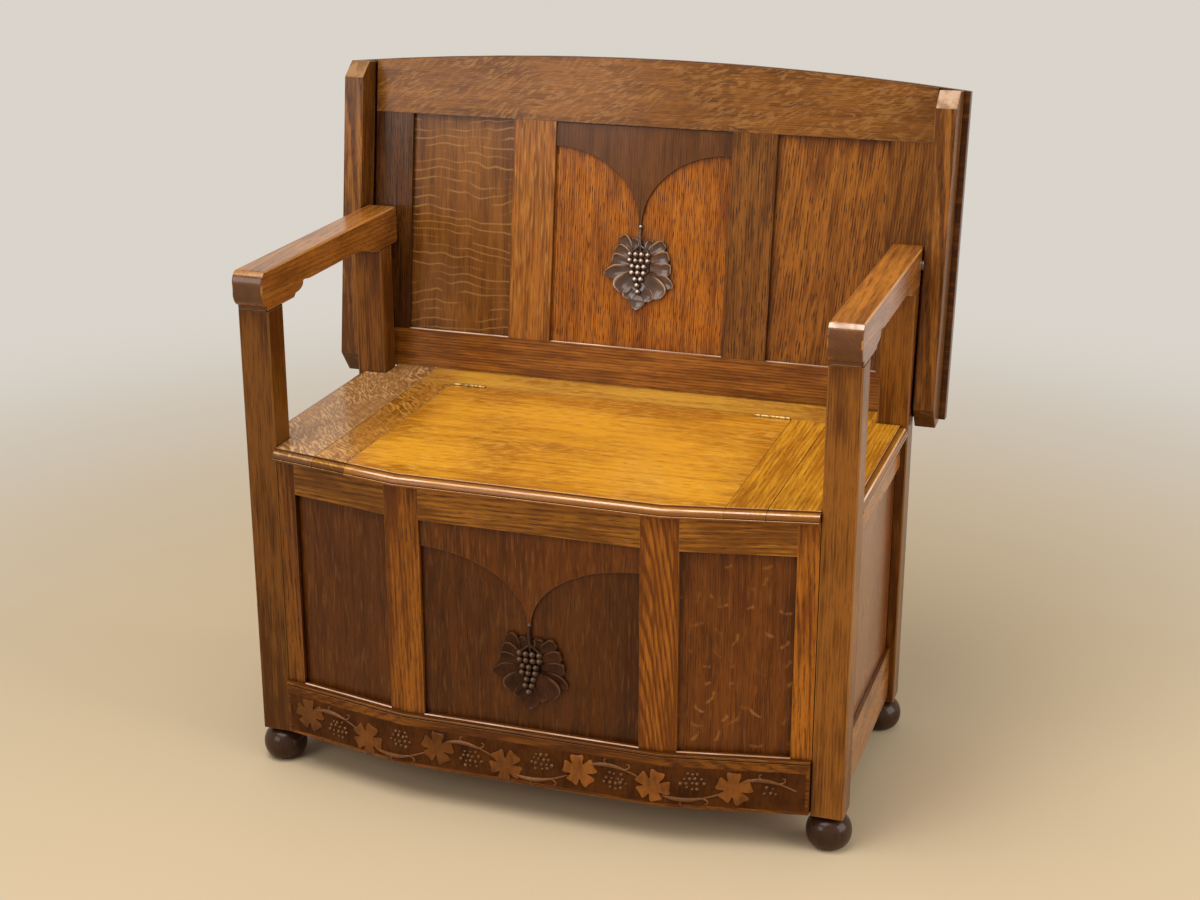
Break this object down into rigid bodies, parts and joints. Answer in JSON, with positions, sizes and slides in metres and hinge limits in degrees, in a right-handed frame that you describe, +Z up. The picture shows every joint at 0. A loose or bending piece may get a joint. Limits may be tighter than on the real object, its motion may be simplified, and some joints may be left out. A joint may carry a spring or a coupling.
{
  "type": "settle bench",
  "caption": "Oak monk's bench: box settle with lift-up seat, canted panelled front, arms, bun feet and a back that tips forward and slides to form a table.",
  "frame": {"origin": "centre of the bench's width and depth, on the floor", "axes": "+X to the right when facing the front, the front faces -Y, +Z up"},
  "size_m": [0.934, 0.5576, 0.9606],
  "materials": {
    "golden_oak": "polished golden oak, satin gloss",
    "frame_oak": "polished mid-brown oak, satin gloss",
    "dark_oak": "polished dark oak, satin gloss",
    "carved_oak": "very dark stained and polished oak",
    "brass": "aged brass",
    "iron": "plain turned steel"
  },
  "bodies": {
    "bench": {"front_post_left": "frame_oak", "rear_post_left": "frame_oak", "bun_foot_front_left": "carved_oak", "bun_foot_rear_left": "carved_oak", "arm_left": "frame_oak", "side_top_rail_left": "frame_oak", "side_bottom_rail_left": "frame_oak", "side_panel_left": "dark_oak", "front_end_stile_left": "golden_oak", "front_break_stile_left": "golden_oak", "seat_side_board_left": "golden_oak", "lid_hinge_fixed_leaf_left": "brass", "front_post_right": "frame_oak", "rear_post_right": "frame_oak", "bun_foot_front_right": "carved_oak", "bun_foot_rear_right": "carved_oak", "arm_right": "frame_oak", "side_top_rail_right": "frame_oak", "side_bottom_rail_right": "frame_oak", "side_panel_right": "dark_oak", "front_end_stile_right": "golden_oak", "front_break_stile_right": "golden_oak", "seat_side_board_right": "golden_oak", "lid_hinge_fixed_leaf_right": "brass", "front_top_rail_left": "golden_oak", "front_panel_left": "dark_oak", "front_top_rail_centre": "golden_oak", "front_panel_centre": "dark_oak", "front_top_rail_right": "golden_oak", "front_panel_right": "dark_oak", "box_rear_top_rail": "frame_oak", "box_rear_bottom_rail": "frame_oak", "box_rear_panel": "dark_oak", "box_floor_board": "dark_oak", "front_bottom_rail": "dark_oak", "seat_rear_rail": "golden_oak", "front_spandrel": "dark_oak", "front_leaf_carving": "carved_oak"},
    "lid": {"lid_hinge_moving_leaf_left": "brass", "lid_clamp_left": "golden_oak", "lid_hinge_moving_leaf_right": "brass", "lid_clamp_right": "golden_oak", "lid_panel": "golden_oak"},
    "pivot_pegs": {"pivot_peg_left": "iron", "pivot_peg_right": "iron"},
    "tip_over_back": {"back_stile_left": "frame_oak", "back_muntin_left": "frame_oak", "bearer_left": "frame_oak", "back_stile_right": "frame_oak", "back_muntin_right": "frame_oak", "bearer_right": "frame_oak", "back_panel_left": "golden_oak", "back_panel_centre": "golden_oak", "back_panel_right": "golden_oak", "back_top_rail": "frame_oak", "back_bottom_rail": "frame_oak", "back_spandrel": "dark_oak", "back_leaf_carving": "carved_oak", "table_top": "golden_oak"}
  },
  "joints": [
    {"name": "back_tilt", "type": "hinge", "parent": "bench", "child": "pivot_pegs", "pos_m": [0, 0.18883, 0.7035], "axis": [1, 0, 0], "range_deg": [0, 97.5]},
    {"name": "back_slide", "type": "slide", "parent": "pivot_pegs", "child": "tip_over_back", "axis": [0, 0.1305, 0.9914], "range_m": [0, 0.185]},
    {"name": "lid_hinge", "type": "hinge", "parent": "bench", "child": "lid", "pos_m": [0, 0.11433, 0.4841], "axis": [-1, 0, 0], "range_deg": [0, 39]}
  ]
}
